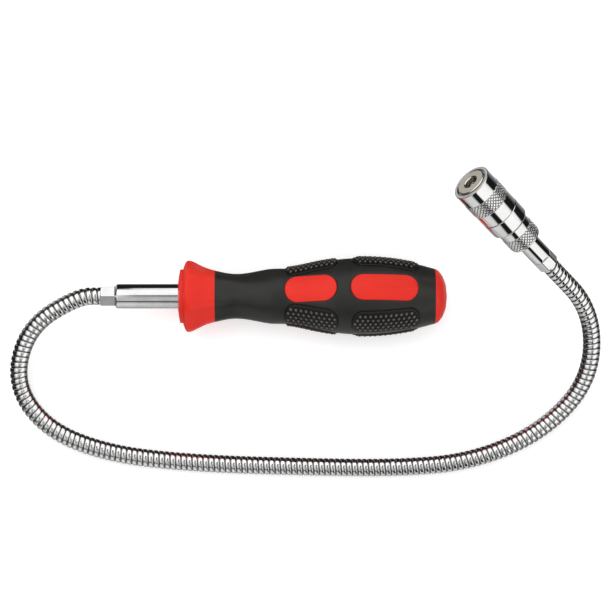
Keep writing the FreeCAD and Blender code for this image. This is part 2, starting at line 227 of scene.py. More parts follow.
class Nodes:
    """Short calls for building one material's nodes."""

    def __init__(self, name):
        self.material = bpy.data.materials.new(name)
        self.material.use_nodes = True
        self.tree = self.material.node_tree
        self.shader = self.tree.nodes["Principled BSDF"]
        self.place = self.add("ShaderNodeTexCoord").outputs["Object"]

    def add(self, kind, **values):
        node = self.tree.nodes.new(kind)
        for key, value in values.items():
            setattr(node, key, value)
        return node

    def link(self, source, target):
        self.tree.links.new(source, target)

    def set(self, **values):
        for key, value in values.items():
            self.shader.inputs[key.replace("_", " ")].default_value = value

    def noise(self, scale, detail=3.0, roughness=0.5, stretch=None):
        """Noise over the object, with an optional stretch along its axes."""
        node = self.add("ShaderNodeTexNoise")
        node.inputs["Scale"].default_value = scale
        node.inputs["Detail"].default_value = detail
        node.inputs["Roughness"].default_value = roughness
        if stretch:
            mapping = self.add("ShaderNodeMapping")
            mapping.inputs["Scale"].default_value = stretch
            self.link(self.place, mapping.inputs["Vector"])
            self.link(mapping.outputs["Vector"], node.inputs["Vector"])
        else:
            self.link(self.place, node.inputs["Vector"])
        return node.outputs["Fac"]

    def cells(self, scale):
        node = self.add("ShaderNodeTexVoronoi")
        node.inputs["Scale"].default_value = scale
        self.link(self.place, node.inputs["Vector"])
        return node.outputs["Distance"]

    def ramp(self, source, low, high, start=0.3, end=0.7):
        """Map a value to colours or greys between two stops."""
        node = self.add("ShaderNodeValToRGB")
        first, last = node.color_ramp.elements
        first.position = start
        last.position = end
        first.color = low if isinstance(low, tuple) else (low, low, low, 1)
        last.color = high if isinstance(high, tuple) else (high, high, high, 1)
        self.link(source, node.inputs["Fac"])
        return node.outputs["Color"]

    def bump(self, source, distance, strength=1.0, before=None):
        node = self.add("ShaderNodeBump")
        node.inputs["Distance"].default_value = distance
        node.inputs["Strength"].default_value = strength
        self.link(source, node.inputs["Height"])
        if before:
            self.link(before, node.inputs["Normal"])
        return node.outputs["Normal"]

    def painted_gap_shade(self, colour, reach, dark, start=0.45, end=0.85):
        """Painted shade: darken a colour, by ambient occlusion, where the surface lies in a gap about
        as narrow as the reach.
        """
        hidden = self.add("ShaderNodeAmbientOcclusion", samples=6)
        hidden.inputs["Distance"].default_value = reach
        share = self.ramp(hidden.outputs["AO"], dark, 1.0, start, end)
        mix = self.add("ShaderNodeMix", data_type="RGBA", blend_type="MULTIPLY")
        mix.inputs["Factor"].default_value = 1.0
        self.link(colour, mix.inputs[6])
        self.link(share, mix.inputs[7])
        return mix.outputs[2]

    def output(self, **sources):
        for key, source in sources.items():
            self.link(source, self.shader.inputs[key.replace("_", " ")])
        return self.material


def plastic(name, colour, darker, roughness, grain, grain_depth):
    """Moulded plastic: faint colour drift, uneven gloss and a fine moulded grain."""
    nodes = Nodes(name)
    nodes.set(IOR=1.5, Specular_IOR_Level=0.28)
    colours = nodes.ramp(nodes.noise(60.0), darker, colour, 0.35, 0.62)
    gloss = nodes.ramp(nodes.noise(220.0, 2.0), roughness * 0.92, roughness * 1.1)
    broad = nodes.bump(nodes.noise(60.0, 1.0), 0.000005)
    normal = nodes.bump(nodes.noise(grain, 2.0), grain_depth, before=broad)
    return nodes.output(Base_Color=colours, Roughness=gloss, Normal=normal)


def rubber(name, colour, lighter, roughness, grain, grain_depth, sheen=0.0, gap=0.0):
    """Soft moulded rubber: matt, with a fine sparked texture and lighter scuffed patches; a gap reach
    adds painted shade in narrow gaps.
    """
    nodes = Nodes(name)
    nodes.set(IOR=1.48, Specular_IOR_Level=0.35, Sheen_Weight=sheen, Sheen_Roughness=0.5)
    colours = nodes.ramp(nodes.noise(95.0, 6.0, 0.6), colour, lighter, 0.42, 0.72)
    # A gap reach darkens the colour in narrow gaps: painted shade.
    if gap:
        colours = nodes.painted_gap_shade(colours, gap, dark=0.03, start=0.60, end=0.97)
    gloss = nodes.ramp(nodes.noise(700.0, 2.0), roughness * 0.9, min(1.0, roughness * 1.12))
    fine = nodes.bump(nodes.noise(grain, 3.0, 0.6), grain_depth)
    normal = nodes.bump(nodes.cells(grain * 0.45), grain_depth * 0.6, strength=0.6, before=fine)
    return nodes.output(Base_Color=colours, Roughness=gloss, Normal=normal)


def plated(
    name, colour, roughness, drift=0.012, scratch=(1.0, 1.0, 1.0), scratch_depth=0.0000012, gap=0.0,
):
    """Bright plated metal: mirror gloss with faint smears, polishing lines and an uneven base; a gap
    reach adds painted shade in narrow gaps.
    """
    nodes = Nodes(name)
    nodes.set(Metallic=1.0)
    shade = tuple(channel * 0.90 for channel in colour[:3]) + (1,)
    colours = nodes.ramp(nodes.noise(140.0, 4.0), shade, colour)
    # A gap reach darkens the colour in narrow gaps: painted shade.
    if gap:
        colours = nodes.painted_gap_shade(colours, gap, dark=0.03)
    gloss = nodes.ramp(nodes.noise(420.0, 5.0, 0.6), roughness, roughness + drift * 4, 0.45, 0.8)
    uneven = nodes.bump(nodes.noise(260.0, 2.0), 0.000004)
    normal = nodes.bump(nodes.noise(1500.0, 3.0, 0.6, scratch), scratch_depth, before=uneven)
    return nodes.output(Base_Color=colours, Roughness=gloss, Normal=normal)


def clear_plastic(name):
    nodes = Nodes(name)
    nodes.set(IOR=1.52, Transmission_Weight=0.9, Base_Color=(0.95, 0.96, 1.0, 1))
    gloss = nodes.ramp(nodes.noise(900.0), 0.03, 0.10)
    return nodes.output(Roughness=gloss, Normal=nodes.bump(nodes.noise(700.0), 0.000004))


def rgb(red, green, blue):
    return (red, green, blue, 1.0)


RED = plastic(
    "red_plastic", rgb(0.66, 0.018, 0.008), rgb(0.62, 0.016, 0.007), 0.34,
    grain=1600.0, grain_depth=0.0000012,
)
GRIP = rubber(
    "grip_rubber", rgb(0.012, 0.012, 0.011), rgb(0.018, 0.017, 0.016), 0.36,
    grain=3200.0, grain_depth=0.000008, sheen=0.01,
)
# Pad rubber with painted shade: its colour is darkened in the hollows round the dots.
PAD = rubber(
    "pad_rubber", rgb(0.006, 0.006, 0.005), rgb(0.010, 0.009, 0.008), 0.42,
    grain=2400.0, grain_depth=0.000006, gap=0.0012,
)
# Painted highlight: the dots are the pads' black rubber drawn lighter, and painted shade darkens their
# sides, so only their tops stay light.
DOT_PAINTED_HIGHLIGHT = rubber(
    "dot_rubber_painted_highlight", rgb(0.075, 0.068, 0.061), rgb(0.105, 0.095, 0.085), 0.34,
    grain=2400.0, grain_depth=0.000003, gap=0.0016,
)
SHANK_PLATE = plated(
    "shank_plate", rgb(0.86, 0.86, 0.88), 0.06, drift=0.02,
    scratch=(0.06, 1.0, 1.0), scratch_depth=0.000004,
)
# Winding, spring and head metal carry painted shade: their colour darkens in narrow gaps, such as
# between the turns and in the knurl's grooves.
NECK_PLATE = plated("neck_plate", rgb(0.92, 0.92, 0.92), 0.05, gap=0.0012)
SPRING_PLATE = plated("spring_plate", rgb(0.40, 0.40, 0.40), 0.14, gap=0.0014)
HEAD_PLATE = plated("head_plate", rgb(0.88, 0.88, 0.88), 0.035, gap=0.0005)
MAGNET_PLATE = plated("magnet_plate", rgb(0.90, 0.82, 0.73), 0.22, drift=0.03)
CELL_PLATE = plated("cell_plate", rgb(0.70, 0.70, 0.70), 0.25, drift=0.03)
BRASS = plated("contact_brass", rgb(0.75, 0.58, 0.25), 0.20, drift=0.02)
HOLDER = rubber(
    "lamp_holder", rgb(0.030, 0.022, 0.018), rgb(0.045, 0.034, 0.028), 0.45,
    grain=2600.0, grain_depth=0.000006,
)
BOARD = plastic(
    "circuit_board", rgb(0.03, 0.20, 0.07), rgb(0.02, 0.15, 0.05), 0.45,
    grain=2400.0, grain_depth=0.000004,
)
LENS = clear_plastic("lamp_lens")


# ---------------------------------------------------------------- camera, lights and floor

CAMERA_HEIGHT = 1600.0
VIEW_CENTRE = (57.0, -4.37)
VIEW_WIDTH = 275.4
FLOOR_SIZE = 6.0
FLOOR_HEIGHT = -0.0001
AMBIENT = 0.95
BACKDROP = 0.85


def table_point(x, y, z):
    """Point given along and across from the handle's origin, and from the table, in metres."""
    return Vector((TABLE + np.array([x, y, z])) * MM)


def add_camera():
    data = bpy.data.cameras.new("camera")
    data.sensor_width = 36.0
    data.lens = data.sensor_width * CAMERA_HEIGHT / VIEW_WIDTH
    data.clip_start = 0.05
    data.clip_end = 20.0
    camera = bpy.data.objects.new("camera", data)
    camera.location = table_point(*VIEW_CENTRE, HANDLE[2] + CAMERA_HEIGHT)
    bpy.context.scene.collection.objects.link(camera)
    bpy.context.scene.camera = camera


def add_light(name, place, size, power):
    """Soft rectangular light that aims at the tool and lights it without a hard-edged glint."""
    data = bpy.data.lights.new(name, "AREA")
    data.shape = "RECTANGLE"
    data.size, data.size_y = size
    data.energy = power
    lamp = bpy.data.objects.new(name, data)
    lamp.location = place
    lamp.rotation_euler = (-Vector(place)).to_track_quat("-Z", "Y").to_euler()
    lamp.visible_camera = False
    lamp.visible_glossy = False
    bpy.context.scene.collection.objects.link(lamp)


def add_floor():
    bpy.ops.mesh.primitive_plane_add(size=FLOOR_SIZE, location=(0, 0, FLOOR_HEIGHT))
    floor = bpy.context.object
    floor.name = "floor"
    floor.visible_glossy = False
    nodes = Nodes("floor_paper")
    nodes.set(Roughness=0.8, Specular_IOR_Level=0.1)
    nodes.set(Emission_Color=(1, 1, 1, 1), Emission_Strength=0.25)
    shade = nodes.ramp(nodes.noise(3.0), 0.90, 0.92)
    floor.data.materials.append(nodes.output(Base_Color=shade))


# What polished metal sees of the studio, by the compass: each sector runs from the last one's
# azimuth to its own, in degrees from +X toward +Y, and fades to the next over a few degrees.
# Its stops are (elevation, brightness): table below, black screens and white softboxes above.
WEST = [
    (-90, 0.25), (-60, 0.06), (-10, 0.01), (24, 0.02), (36, 0.60), (60, 1.20), (80, 1.0), (90, 0.13),
]
STUDIO = [
    (-140, 12, WEST),
    (-118, 5, [
        (-90, 0.65), (-72, 0.45), (-58, 0.26), (-45, 0.26), (-31, 0.52), (-12, 0.52), (-5, 0.42),
        (6, 0.26), (24, 0.10), (36, 0.35), (60, 0.95), (80, 0.8), (90, 0.13),
    ]),
    (-92, 1, [
        (-90, 0.65), (-72, 0.45), (-58, 0.30), (-45, 0.35), (-31, 0.60), (-12, 0.75), (8, 0.75),
        (24, 0.62), (28, 0.42), (32, 0.36), (35, 0.08), (42, 0.10), (48, 0.58), (80, 0.55),
        (84, 0.10), (90, 0.08),
    ]),
    (-88.3, 0.8, [
        (-90, 0.80), (-40, 0.60), (0, 0.45), (14, 0.35), (24, 0.15), (31, 0.02), (42, 0.02),
        (54, 0.14), (68, 0.12), (80, 0.03), (90, 0.03),
    ]),
    (-67, 4, [
        (-90, 0.55), (-10, 0.60), (2, 0.45), (8, 0.01), (34, 0.01), (46, 0.20), (74, 0.30), (90, 0.13),
    ]),
    (-6, 10, [
        (-90, 0.30), (-40, 0.20), (0, 0.30), (12, 0.85), (20, 1.10), (44, 1.10), (56, 0.25),
        (72, 0.8), (90, 0.13),
    ]),
    (62, 14, [
        (-90, 0.90), (-72, 0.80), (-59, 0.48), (-45, 0.24), (-31, 0.10), (-20, 0.01), (9, 0.01),
        (14, 0.95), (60, 1.15), (80, 1.0), (90, 0.13),
    ]),
    (93, 1, [
        (-90, 0.40), (-76, 0.20), (-60, 0.05), (-22, 0.01), (4, 0.01), (12, 1.2), (58, 1.2),
        (65, 0.08), (80, 0.06), (90, 0.06),
    ]),
    (118, 8, [
        (-90, 0.40), (-76, 0.20), (-60, 0.05), (-22, 0.01), (10, 0.01), (20, 0.30), (29, 1.2),
        (76, 1.2), (80, 0.13),
    ]),
    (156, 8, [
        (-90, 0.30), (-64, 0.15), (-50, 0.50), (-16, 0.50), (0, 0.02), (20, 0.06), (32, 1.2),
        (78, 1.2), (90, 0.13),
    ]),
    (180, 1, WEST),
]


class World:
    """Studio surroundings: even light for the matt surfaces, screens for the polished ones."""

    def __init__(self):
        self.world = bpy.data.worlds.new("studio")
        self.world.use_nodes = True
        self.tree = self.world.node_tree
        bpy.context.scene.world = self.world

    def node(self, kind, inputs=(), **values):
        node = self.tree.nodes.new(kind)
        for key, value in values.items():
            setattr(node, key, value)
        for socket, value in enumerate(inputs):
            if isinstance(value, bpy.types.NodeSocket):
                self.tree.links.new(value, node.inputs[socket])
            elif value is not None:
                node.inputs[socket].default_value = value
        return node.outputs[0]

    def math(self, operation, *inputs):
        return self.node("ShaderNodeMath", inputs, operation=operation)

    def step(self, value, low, high):
        inputs = (value, low, high, 0.0, 1.0)
        return self.node("ShaderNodeMapRange", inputs, interpolation_type="SMOOTHSTEP")

    def sector(self, elevation, stops):
        """Brightness by elevation, through the stops."""
        node = self.tree.nodes.new("ShaderNodeValToRGB")
        elements = node.color_ramp.elements
        while len(elements) < len(stops):
            elements.new(0.5)
        for element, (angle, shade) in zip(elements, stops):
            element.position = (angle + 90) / 180
            element.color = (shade, shade, shade * 0.99, 1)
        self.tree.links.new(elevation, node.inputs["Fac"])
        return node.outputs["Color"]

    def mix(self, share, first, second):
        node = self.tree.nodes.new("ShaderNodeMix")
        node.data_type = "RGBA"
        self.tree.links.new(share, node.inputs["Factor"])
        self.tree.links.new(first, node.inputs[6])
        self.tree.links.new(second, node.inputs[7])
        return node.outputs[2]

    def grey(self, level):
        node = self.tree.nodes.new("ShaderNodeRGB")
        node.outputs[0].default_value = (level, level, level, 1)
        return node.outputs[0]

    def build(self):
        direction = self.tree.nodes.new("ShaderNodeTexCoord").outputs["Generated"]
        split = self.tree.nodes.new("ShaderNodeSeparateXYZ")
        self.tree.links.new(direction, split.inputs[0])
        azimuth = self.math("DEGREES", self.math("ARCTAN2", split.outputs["Y"], split.outputs["X"]))
        elevation = self.math("DEGREES", self.math("ARCSINE", split.outputs["Z"]))
        height = self.math("DIVIDE", self.math("ADD", elevation, 90.0), 180.0)
        shade = self.sector(height, STUDIO[0][2])
        for (edge, fade, _), (_, _, stops) in zip(STUDIO, STUDIO[1:]):
            share = self.step(azimuth, edge - fade, edge + fade)
            shade = self.mix(share, shade, self.sector(height, stops))
        paths = self.tree.nodes.new("ShaderNodeLightPath").outputs
        even = self.mix(paths["Is Camera Ray"], self.grey(AMBIENT), self.grey(BACKDROP))
        colours = self.mix(paths["Is Glossy Ray"], even, shade)
        self.tree.links.new(colours, self.tree.nodes["Background"].inputs["Color"])


add_camera()
World().build()
add_floor()
add_light("key", (-0.35, 0.55, 1.1), (1.0, 1.0), 6.0)
add_light("fill", (0.5, -0.8, 0.9), (1.2, 0.6), 2.0)
bpy.context.scene.view_settings.view_transform = "Standard"


# ---------------------------------------------------------------- gooseneck
# The route's points are the gooseneck's own, from inside the shank to inside the ferrule. A
# point is added on each straight end, where the shank and the ferrule hold the gooseneck.

NECK_RADIUS = 4.0
HANDLE_AXIS_HEIGHT = HANDLE[2]
FERRULE_END = 58.0
NECK_INSERT = 12.0
NECK_LEAD = 33.0
WINDING_PITCH = 2.5
STEPS_PER_TURN = 30


def head_point(back):
    """Point on the head's axis this far behind the magnet's face."""
    return HEAD_FACE - HEAD_AXIS * back


def neck_route():
    on_table = [
        (-26.0, 0.0, HANDLE_AXIS_HEIGHT),
        (-34.5, 0.0, HANDLE_AXIS_HEIGHT),
        (-45.5, 0.0, HANDLE_AXIS_HEIGHT),
        (-68.0, -13.5, 15.0),
        (-75.0, -38.5, 10.4),
        (-61.5, -59.5, 6.4),
        (-34.5, -71.0, 4.15),
        (2.0, -75.5, NECK_RADIUS),
        (52.0, -77.3, NECK_RADIUS),
        (100.0, -78.0, NECK_RADIUS),
        (133.5, -74.7, NECK_RADIUS),
        (165.0, -60.8, 5.0),
        (186.0, -37.0, 9.5),
    ]
    points = [TABLE + np.array(point) for point in on_table]
    on_head_axis = (FERRULE_END + NECK_LEAD, FERRULE_END, FERRULE_END - NECK_INSERT)
    return points + [head_point(back) for back in on_head_axis]


def neck_centreline():
    """Points along a smooth NURBS curve through the route, 0.1 mm or less apart."""
    data = bpy.data.curves.new("neck_route", "CURVE")
    data.dimensions = "3D"
    spline = data.splines.new("NURBS")
    route = neck_route()
    spline.points.add(len(route) - 1)
    for point, place in zip(spline.points, route):
        point.co = (*(place * MM), 1.0)
    spline.order_u = 3
    spline.use_endpoint_u = True
    spline.resolution_u = 240
    curve = bpy.data.objects.new("neck_route", data)
    mesh = bpy.data.meshes.new_from_object(curve)
    line = np.array([vertex.co for vertex in mesh.vertices]) / MM
    bpy.data.objects.remove(curve)
    bpy.data.curves.remove(data)
    bpy.data.meshes.remove(mesh)
    return line


class Centreline:
    """Gooseneck's centreline by length along it, with a frame that doesn't twist."""

    def __init__(self, line):
        steps = np.linalg.norm(np.diff(line, axis=0), axis=1)
        self.at = np.concatenate([[0.0], np.cumsum(steps)])
        self.length = self.at[-1]
        self.line = line
        tangents = np.gradient(line, self.at, axis=0)
        self.tangents = tangents / np.linalg.norm(tangents, axis=1)[:, None]
        normal = unit(np.cross(self.tangents[0], [0, 0, 1.0]))
        normals = []
        for tangent in self.tangents:
            normal = unit(normal - tangent * np.dot(normal, tangent))
            normals.append(normal)
        self.normals = np.array(normals)
        self.binormals = np.cross(self.tangents, self.normals)

    def read(self, values, at):
        return np.stack([np.interp(at, self.at, values[:, axis]) for axis in range(3)], axis=-1)

    def nearest(self, point):
        """Length along the centreline at which it passes closest to a point."""
        return self.at[np.argmin(np.linalg.norm(self.line - point, axis=1))]

    def wound(self, start, end, section, phase):
        """A wire wound round the centreline: rows of a section given as (along, radius) points."""
        count = int(round((end - start) / WINDING_PITCH * STEPS_PER_TURN)) + 1
        at = np.linspace(start, end, count)
        angle = 2 * math.pi * at / WINDING_PITCH + phase
        centre = self.read(self.line, at)
        tangent = self.read(self.tangents, at)
        outward = (
            np.cos(angle)[:, None] * self.read(self.normals, at)
            + np.sin(angle)[:, None] * self.read(self.binormals, at)
        )
        along, radius = np.array(section, float).T
        return (
            centre[:, None]
            + tangent[:, None] * along[None, :, None]
            + outward[:, None] * radius[None, :, None]
        )


def winding_section():
    """Section of the outer wire: a broad flat crown, and flanks that close in to a narrow foot."""
    crown = [(1.0, 0.45), (0.97, 0.22), (0.90, 0.10), (0.78, 0.03), (0.55, 0.0), (0.0, 0.0)]
    foot = (0.20, 2.80)
    half = [(along, NECK_RADIUS - drop) for along, drop in crown]
    other = [(-along, radius) for along, radius in reversed(half[:-1])]
    return [foot] + half + other + [(-foot[0], foot[1])]


def spring_section():
    """Section of the inner round wire, which lies in the gaps of the winding."""
    wire_radius = 0.66
    coil_radius = 2.97
    corners = 9
    angles = [2 * math.pi * step / corners for step in range(corners)]
    return [
        (-wire_radius * math.sin(angle), coil_radius + wire_radius * math.cos(angle))
        for angle in angles
    ]


def make_gooseneck():
    """Winding and inner spring, in pieces that each span one hinge."""
    centreline = Centreline(neck_centreline())
    hinges = [joint for joint in frame["joints"] if joint["name"].startswith("neck_")]
    hinge_at = [centreline.nearest(np.array(joint["pos_m"]) / MM) for joint in hinges]
    middles = [(a + b) / 2 for a, b in zip(hinge_at, hinge_at[1:])]
    cuts = [0.0] + middles + [centreline.length]
    kinds = (
        ("neck_winding", winding_section(), 0.0, NECK_PLATE),
        ("neck_spring", spring_section(), math.pi, SPRING_PLATE),
    )
    for index, joint in enumerate(hinges):
        start, end = cuts[index], cuts[index + 1]
        number = index + 1
        for kind, section, phase, material in kinds:
            build = Build()
            build.grid(centreline.wound(start, end, section, phase), cap_start=True, cap_end=True)
            piece = build.piece("%s_run_%02d" % (kind, number), sharp_degrees=50.0)
            piece.data.materials.append(material)
            replaced = ["%s_%02d" % (kind, number + 1)]
            if index == 0:
                replaced.append("%s_01" % kind)
            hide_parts(*replaced)
            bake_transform(piece)


make_gooseneck()


# ---------------------------------------------------------------- handle
# OUTLINE's points are (x, radius), and FLAT_DISTANCE's are (x, distance from the axis).

OUTLINE = [
    (1.8, 12.4), (2.7, 14.9), (4.4, 16.3), (6.9, 15.5), (11.0, 13.45), (16.7, 11.65),
    (24.6, 10.25), (34.0, 11.1), (42.0, 12.4), (47.6, 12.5), (60.0, 14.7), (71.5, 16.6),
    (84.0, 17.25), (97.5, 16.2), (108.0, 14.2), (115.35, 12.25),
]
FLAT_DISTANCE = [
    (1.7, 15.1), (4.4, 15.2), (11.0, 12.55), (16.7, 10.9), (24.6, 9.7), (33.0, 10.9), (44.0, 15.0),
]
FLATS_FADE = 38.0
FLATS_END = 43.9
GRIP_START = 15.5
GRIP_END = 115.35
HANDLE_LENGTH = 120.4
FACE_RADIUS = 12.1
ROLL = 15.0
WINDOW_SPANS = [(47.5, 70.7), (77.0, 107.1)]
WINDOW_WIDTH = 12.0
WINDOW_CORNER = 0.48 * WINDOW_WIDTH
WINDOW_RISE = 0.35
WINDOW_SIDES = (ROLL, ROLL + 180)
PAD_SPANS = {"front": (47.6, 71.2), "rear": (77.7, 107.7)}
PAD_WIDTH = 12.6
PAD_CORNER = 5.2
PAD_RISE = 0.5
PAD_SIDES = (ROLL + 60, ROLL - 60, ROLL + 120, ROLL + 240)
PAD_TOP = PAD_RISE - 0.25
GROOVE_DEPTH = 0.30
GROOVE_WIDTH = 0.38
SEAT_DEPTH = 0.9
RIM_DEPTH = 2.0
LIP_DEPTH = 1.6

handle_curve = smooth_curve(OUTLINE)
flat_curve = smooth_curve(FLAT_DISTANCE)


def handle_radius(x, angle):
    """Radius of the handle's surface: turned, with six soft flats on the flare and neck."""
    base = handle_curve(x)
    flat = six_flats(angle, ROLL, flat_curve(np.minimum(x, FLATS_END)))
    flat = flat + 8.0 * smoothstep(x, FLATS_FADE, FLATS_END)
    return soft_min(base, flat, 0.55)


def on_handle(x, angle, radius):
    """Points on the handle in the row's frame, from x, angle and radius."""
    x, angle, radius = np.broadcast_arrays(x, angle, radius)
    return np.stack([
        HANDLE[0] + x,
        HANDLE[1] + radius * np.sin(angle),
        HANDLE[2] + radius * np.cos(angle),
    ], axis=-1)


def slot_distance(x, angle, span, width, corner, side):
    """Distance on the surface outside (positive) or inside a slot's rounded outline."""
    radius = handle_curve(x)
    across = radius * np.sin(angle - math.radians(side))
    facing = np.cos(angle - math.radians(side)) > 0
    middle = (span[0] + span[1]) / 2
    dx = np.abs(x - middle) - ((span[1] - span[0]) / 2 - corner)
    dy = np.abs(across) - (width / 2 - corner)
    outside = np.hypot(np.maximum(dx, 0), np.maximum(dy, 0)) - corner
    inside = np.minimum(np.maximum(dx, dy), 0)
    return np.where(facing, outside + inside, 50.0)


def slots():
    """Every window and pad: span, width, corner radius and side."""
    for span in WINDOW_SPANS:
        for side in WINDOW_SIDES:
            yield span, WINDOW_WIDTH, WINDOW_CORNER, side
    for span in PAD_SPANS.values():
        for side in PAD_SIDES:
            yield span, PAD_WIDTH, PAD_CORNER, side


def make_sleeve():
    """Black grip: the surface dips into a groove round every window and pad."""
    x = np.linspace(GRIP_START, GRIP_END, 300)[:, None]
    angle = turn_angles(324)
    radius = handle_radius(x, angle)
    sink = np.zeros_like(radius)
    for slot in slots():
        distance = slot_distance(x, angle, *slot)
        groove = GROOVE_DEPTH * np.exp(-(np.maximum(distance, 0) / GROOVE_WIDTH) ** 2)
        under = SEAT_DEPTH * smoothstep(-distance, 0.0, 0.8)
        sink = np.maximum(sink, groove + under)
    front_edge = 1 - smoothstep(x, GRIP_START, GRIP_START + 0.5)
    rear_edge = smoothstep(x, GRIP_END - 0.5, GRIP_END)
    edge = 0.25 * (front_edge + rear_edge)
    build = Build()
    surface = on_handle(x, angle, radius - sink - edge)
    start = on_handle(x[:1], angle, radius[:1] - RIM_DEPTH)
    end = on_handle(x[-1:], angle, radius[-1:] - RIM_DEPTH)
    build.grid(np.concatenate([start, surface, end]), flip=True)
    piece = build.piece("grip_sleeve_skin", sharp_degrees=50.0)
    finish_piece(piece, GRIP, "grip_black", "handle", "grip_sleeve")


def window_profile():
    """Rounded shoulder, then a gently crowned top, as (share inward, height)."""
    profile = [(0.0, -1.0), (0.0, -0.25)]
    for step in range(7):
        t = step / 6 * math.pi / 2
        profile.append((0.10 * (1 - math.cos(t)), -0.25 + (WINDOW_RISE + 0.2) * math.sin(t)))
    for share in (0.2, 0.4, 0.65, 0.9, 0.995):
        profile.append((share, WINDOW_RISE - 0.05 + 0.05 * smoothstep(share, 0.1, 0.6)))
    return profile


def outline_points(half_length, half_width, corner, spacing):
    """Evenly spaced points round a rectangle with round corners."""
    points = []
    straight = [(1, 1), (-1, 1), (-1, -1), (1, -1)]
    for index, (sx, sy) in enumerate(straight):
        centre = np.array([sx * (half_length - corner), sy * (half_width - corner)])
        first = index * 90.0
        steps = max(3, int(math.radians(90) * corner / spacing))
        for step in range(steps + 1):
            angle = math.radians(first + 90.0 * step / steps)
            points.append(centre + corner * np.array([math.cos(angle), math.sin(angle)]))
        nx, ny = straight[(index + 1) % 4]
        goal = np.array([nx * (half_length - corner), ny * (half_width - corner)])
        turn = math.radians(first + 90.0)
        goal = goal + corner * np.array([math.cos(turn), math.sin(turn)])
        gap = np.linalg.norm(goal - points[-1])
        fills = int(gap / spacing)
        last = points[-1]
        for step in range(1, fills + 1):
            points.append(last + (goal - last) * step / (fills + 1))
    return np.array(points)


def slot_surface(span, width, corner, side, profile, spacing=0.55):
    """Rings of a raised island that follows the handle, closed over its spine."""
    half_length, half_width = (span[1] - span[0]) / 2, width / 2
    middle = (span[0] + span[1]) / 2
    outline = outline_points(half_length, half_width, corner, spacing)
    reach = half_length - half_width
    spine = np.stack([np.clip(outline[:, 0], -reach, reach), np.zeros(len(outline))], axis=1)
    rings = []
    for share, height in profile:
        flat = outline * (1 - share) + spine * share
        x = middle + flat[:, 0]
        radius = handle_curve(x)
        angle = math.radians(side) + np.arcsin(flat[:, 1] / radius)
        rings.append(on_handle(x, angle, radius + height))
    return np.array(rings)


def add_island(build, span, width, corner, side, profile):
    build.grid(slot_surface(span, width, corner, side, profile), cap_end=True)


def make_core():
    """Red core: front disc, six-sided flare, tail dome and the four windows."""
    build = Build()
    angle = turn_angles(288)
    front = rounded([
        (4.0, 5.5, 0), (DISC_FRONT + 0.2, 5.5, 0.1), (DISC_FRONT, 5.8, 0.3),
        (DISC_FRONT + 0.3, 8.5, 12.0), (DISC_FRONT + 0.9, FACE_RADIUS, 0.5), (2.6, FACE_RADIUS, 0),
    ])
    build.grid(on_handle(front[:, :1], angle, front[:, 1:]), flip=True)
    x = np.concatenate([np.linspace(1.95, 5.6, 16), np.linspace(5.9, GRIP_START + 0.6, 28)])[:, None]
    radius = handle_radius(x, angle)
    lip = on_handle(x[:1], angle, radius[:1] - LIP_DEPTH)
    build.grid(np.concatenate([lip, on_handle(x, angle, radius)]), flip=True)
    dome = rounded([
        (GRIP_END - 0.6, 12.2, 0), (GRIP_END + 0.1, 12.25, 0.2), (GRIP_END + 1.3, 11.5, 4.0),
        (118.4, 9.2, 5.0), (119.9, 5.4, 8.0), (HANDLE_LENGTH, 0.02, 0),
    ])
    build.grid(on_handle(dome[:, :1], angle, dome[:, 1:]), flip=True)
    for span in WINDOW_SPANS:
        for side in WINDOW_SIDES:
            add_island(build, span, WINDOW_WIDTH, WINDOW_CORNER, side, window_profile())
    piece = build.piece("handle_core_skin", sharp_degrees=50.0)
    finish_piece(piece, RED, "red_core", "handle", "handle_core")


def pad_nubs(span, side):
    """Centres of the dots on a pad, in staggered rows, as (x, across) points."""
    pitch, row_pitch, margin = 2.3, 2.0, 1.0
    half_length, half_width = (span[1] - span[0]) / 2, PAD_WIDTH / 2
    middle = (span[0] + span[1]) / 2
    nubs = []
    rows = int(half_width / row_pitch)
    for row in range(-rows, rows + 1):
        across = row * row_pitch
        shift = 0.5 * pitch * (row % 2)
        steps = int(half_length / pitch) + 1
        for step in range(-steps, steps + 1):
            along = step * pitch + shift
            dx = max(0.0, abs(along) - (half_length - PAD_CORNER))
            dy = max(0.0, abs(across) - (half_width - PAD_CORNER))
            if math.hypot(dx, dy) < PAD_CORNER - margin and abs(along) < half_length - margin:
                nubs.append((middle + along, across))
    return nubs


def add_nub(build, x, across, side):
    """One rounded dot standing on a pad."""
    base, height, sides = 0.78, 0.74, 10
    outline = [(1.0, -0.15), (0.97, 0.08), (0.82, 0.55), (0.60, 0.85), (0.32, 0.98)]
    turn = turn_angles(sides)[0]
    rings = []
    for share, rise in outline:
        px = x + base * share * np.cos(turn)
        radius = handle_curve(px)
        angle = math.radians(side) + np.arcsin((across + base * share * np.sin(turn)) / radius)
        rings.append(on_handle(px, angle, radius + PAD_TOP + height * rise))
    build.grid(np.array(rings), cap_end=True)


def make_pads():
    profile = [(0.0, -0.9), (0.0, 0.05), (0.02, 0.26), (0.06, 0.36), (0.10, 0.34), (0.14, 0.26)]
    profile += [(share, PAD_TOP) for share in (0.3, 0.5, 0.7, 0.9, 0.995)]
    for name, span in PAD_SPANS.items():
        build = Build()
        dots = Build()
        for side in PAD_SIDES:
            add_island(build, span, PAD_WIDTH, PAD_CORNER, side, profile)
            for x, across in pad_nubs(span, side):
                add_nub(dots, x, across, side)
        piece = build.piece("grip_pads_%s_skin" % name, sharp_degrees=60.0)
        finish_piece(piece, PAD, "pad_black", "handle", "grip_pads_" + name)
        piece = dots.piece("grip_dots_" + name, sharp_degrees=60.0)
        # The dots sit in the pads' slot but are drawn in the lighter painted-highlight rubber.
        finish_piece(piece, DOT_PAINTED_HIGHLIGHT, "pad_black", "handle")


make_sleeve()
make_core()
make_pads()


# ---------------------------------------------------------------- shank

CRIMP_FLATS = 8.7


